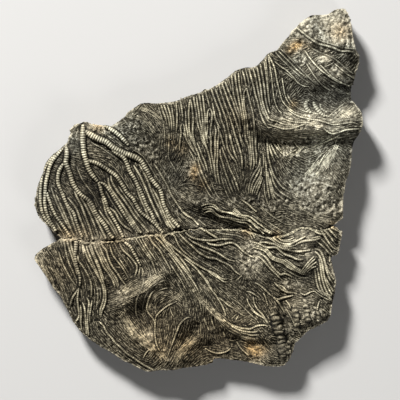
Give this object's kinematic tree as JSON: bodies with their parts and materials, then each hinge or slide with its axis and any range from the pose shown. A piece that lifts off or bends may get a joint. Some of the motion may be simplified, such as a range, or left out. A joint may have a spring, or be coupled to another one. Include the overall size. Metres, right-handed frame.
{
  "type": "crinoid fossil slab",
  "caption": "Flat stone slab covered with fossil sea lily arms in low relief, broken right across once and put together again.",
  "frame": {"origin": "centre of the bounding box, on the flat underside", "axes": "+Z out of the fossil face, +Y up the face to the pointed corner, +X across the face to the right"},
  "size_m": [0.1376, 0.1522, 0.016],
  "materials": {
    "stone": "dark grey fossil limestone with a dull satin sheen"
  },
  "bodies": {
    "root": {"upper_stone": "stone", "lower_stone": "stone"}
  },
  "joints": []
}
